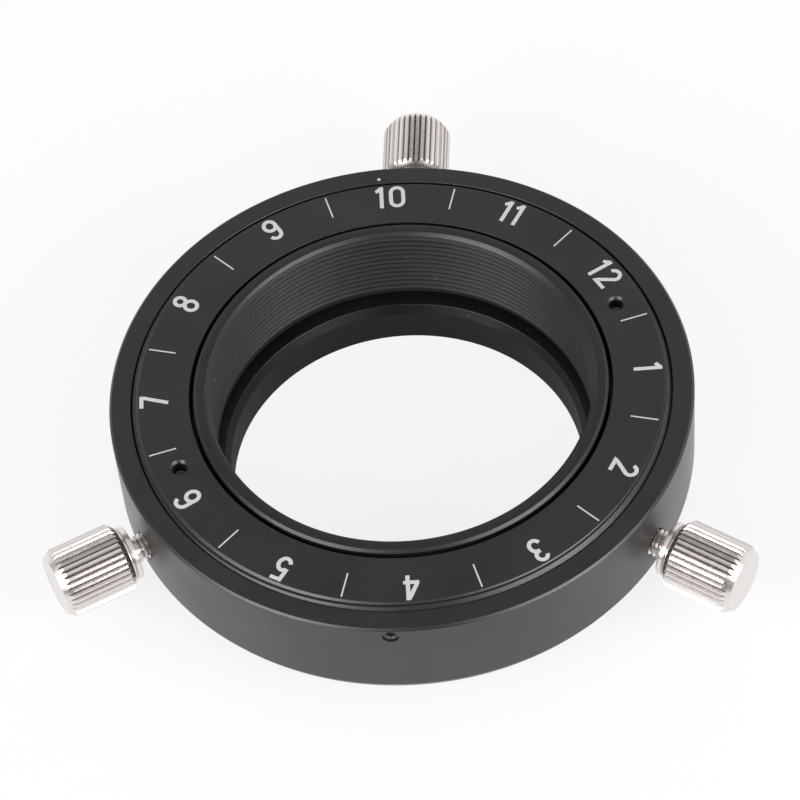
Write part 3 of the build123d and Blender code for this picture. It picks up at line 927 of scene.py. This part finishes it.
class MakeStage(bpy.types.Operator):
    """Set the floor, the light and the camera"""
    bl_idname = "rotation_mount.make_stage"
    bl_label = "Make stage"

    def execute(self, context):
        studio = context.scene.mount_studio
        self.floor(studio)
        self.sky(studio)
        self.soft_box("soft box left", -1, studio)
        self.soft_box("soft box right", 1, studio)
        self.camera(context, studio)
        context.scene.view_settings.view_transform = "Standard"
        return {"FINISHED"}

    def floor(self, studio):
        """A pale floor that keeps a soft shadow, and that reflections see as white, but for a shadow painted under the
        mount.
        """
        material, tree, shader, place = new_material("pale floor")
        soft = noise(tree, place, 40)
        feed(tree, shader, {
            "Base Color": blend(tree, soft, scaled(WHITE, 0.93), scaled(WHITE, 0.95)),
            "Roughness": 0.9, "Specular IOR Level": 0.0})
        rays = node(tree, "ShaderNodeLightPath").outputs
        # in reflections the floor under the mount is dark: a painted shadow, its white falling to 0.17 there
        away = node(tree, "ShaderNodeVectorMath", {0: place}, operation="LENGTH").outputs["Value"]
        painted_shadow_ramp = spread(tree, away, 21 * MM, 32 * MM, 0.17, 1.0)
        white = node(tree, "ShaderNodeEmission", {
            "Color": scaled(WHITE, 1), "Strength": calc(tree, "MAXIMUM", rays["Is Camera Ray"], painted_shadow_ramp)})
        shown = product(tree, rays["Is Camera Ray"], studio.floor_white)
        mirrored = product(tree, self.mirror_ray(tree, rays), 0.92)
        surface = self.mixed(tree, calc(tree, "MAXIMUM", shown, mirrored), shader, white)
        feed(tree, tree.nodes["Material Output"], {"Surface": surface.outputs[0]})
        mesh = bpy.data.meshes.new("floor")
        mesh.from_pydata([(-3, -3, 0), (3, -3, 0), (3, 3, 0), (-3, 3, 0)], [], [(0, 1, 2, 3)])
        mesh.materials.append(material)
        new_piece("floor", mesh)

    def sky(self, studio):
        """White to the camera, an even light to the rest, and in reflections a white sweep in a dim room."""
        world = bpy.data.worlds.new("studio")
        bpy.context.scene.world = world
        world.use_nodes = True
        tree = world.node_tree
        tree.nodes.clear()
        rays = node(tree, "ShaderNodeLightPath").outputs
        towards = node(tree, "ShaderNodeTexCoord").outputs["Generated"]
        turn = Matrix.Rotation(studio.azimuth, 3, "Z")

        def along(direction, low, high):
            """How far a ray points one way, eased from 0 at low to 1 at high."""
            inputs = {0: towards, 1: turn @ Vector(direction).normalized()}
            dot = node(tree, "ShaderNodeVectorMath", inputs, operation="DOT_PRODUCT").outputs["Value"]
            return spread(tree, dot, low, high, 0, 1, interpolation_type="SMOOTHSTEP")

        def background(strength):
            return node(tree, "ShaderNodeBackground", {"Color": scaled(WHITE, 1), "Strength": strength})

        below = calc(tree, "SUBTRACT", 1.0, along((0, 0, 1), 0.53, 0.81))
        sweep = product(tree, below, along((0.25, 1, 0), -0.05, 0.45))
        side = product(tree, below, along((1, 0, 0), 0.2, 0.8), 0.5)
        walls = calc(tree, "MAXIMUM", *(along((x, -0.25, 0.75), 0.70, 0.92) for x in (0.62, -0.62)))
        above = product(tree, along((0, 0, 1), 0.87, 0.97), 0.72)
        lights = calc(tree, "MAXIMUM", sweep, side, product(tree, walls, 0.75), above)
        room = calc(tree, "ADD", product(tree, lights, 0.84), 0.16)
        seen = self.mixed(tree, self.mirror_ray(tree, rays), background(studio.sky), background(room))
        shown = self.mixed(tree, rays["Is Camera Ray"], seen, background(1.0))
        node(tree, "ShaderNodeOutputWorld", {0: shown.outputs[0]})

    def mirror_ray(self, tree, rays):
        return calc(tree, "MAXIMUM", rays["Is Glossy Ray"], rays["Is Transmission Ray"])

    def mixed(self, tree, factor, first, second):
        return node(tree, "ShaderNodeMixShader", {0: factor, 1: first.outputs[0], 2: second.outputs[0]})

    def soft_box(self, name, side, studio):
        """A large square lamp to the front, left or right."""
        turn = Matrix.Rotation(studio.azimuth, 3, "Z")
        towards = turn @ Vector((0.66 * side, -0.53, 0.53)).normalized()
        lamp = bpy.data.lights.new(name, "AREA")
        lamp.shape = "RECTANGLE"
        lamp.size, lamp.size_y = 0.60, 0.40
        lamp.energy = studio.box * math.pi * lamp.size * lamp.size_y
        box = bpy.data.objects.new(name, lamp)
        distance = 0.9
        box.location = towards * distance
        box.rotation_mode = "QUATERNION"
        box.rotation_quaternion = towards.to_track_quat("Z", "Y")
        bpy.context.scene.collection.objects.link(box)

    def camera(self, context, studio):
        lens = bpy.data.cameras.new("camera")
        lens.lens, lens.sensor_width = studio.lens, 36
        lens.clip_start, lens.clip_end = 0.01, 20
        camera = bpy.data.objects.new("camera", lens)
        turn = (Matrix.Rotation(studio.azimuth, 4, "Z") @ Matrix.Rotation(math.pi / 2 - studio.elevation, 4, "X")
                @ Matrix.Rotation(studio.roll, 4, "Z"))
        camera.matrix_world = Matrix.Translation(CAMERA_PLACE) @ turn
        context.scene.collection.objects.link(camera)
        context.scene.camera = camera


class RotationMountPanel(bpy.types.Panel):
    """Lists the steps and the sizes"""
    bl_idname = "VIEW3D_PT_rotation_mount"
    bl_label = "Rotation mount"
    bl_space_type = "VIEW_3D"
    bl_region_type = "UI"
    bl_category = "Rotation mount"

    def draw(self, context):
        for step in STEPS:
            self.layout.operator(step.bl_idname, text=step.bl_label)
        for key, group in SETTINGS.items():
            box = self.layout.box()
            box.label(text=key.replace("mount_", "").capitalize())
            for name in group.__annotations__:
                box.prop(getattr(context.scene, key), name)


STEPS = (MakeHousing, MakeDialRing, MakeRotor, MakeMarkings, MakeThumbscrews, MakeGrubScrews,
         FinishInnerPieces, MakeStage)
SETTINGS = {
    "mount_housing": HousingSettings,
    "mount_dial": DialSettings,
    "mount_rotor": RotorSettings,
    "mount_thumbscrew": ThumbscrewSettings,
    "mount_grub": GrubScrewSettings,
    "mount_finish": FinishSettings,
    "mount_studio": StudioSettings,
}
CLASSES = (*SETTINGS.values(), *STEPS, RotationMountPanel)


def register():
    for group in CLASSES:
        bpy.utils.register_class(group)
    for key, group in SETTINGS.items():
        setattr(bpy.types.Scene, key, PointerProperty(type=group))


def unregister():
    for key in SETTINGS:
        delattr(bpy.types.Scene, key)
    for group in reversed(CLASSES):
        bpy.utils.unregister_class(group)


def main():
    register()
    bpy.ops.rotation_mount.make_housing()
    bpy.ops.rotation_mount.make_dial_ring()
    bpy.ops.rotation_mount.make_rotor()
    bpy.ops.rotation_mount.make_markings()
    bpy.ops.rotation_mount.make_thumbscrews()
    bpy.ops.rotation_mount.make_grub_screws()
    bpy.ops.rotation_mount.finish_inner_pieces()
    bpy.ops.rotation_mount.make_stage()


if __name__ == "__main__":
    main()
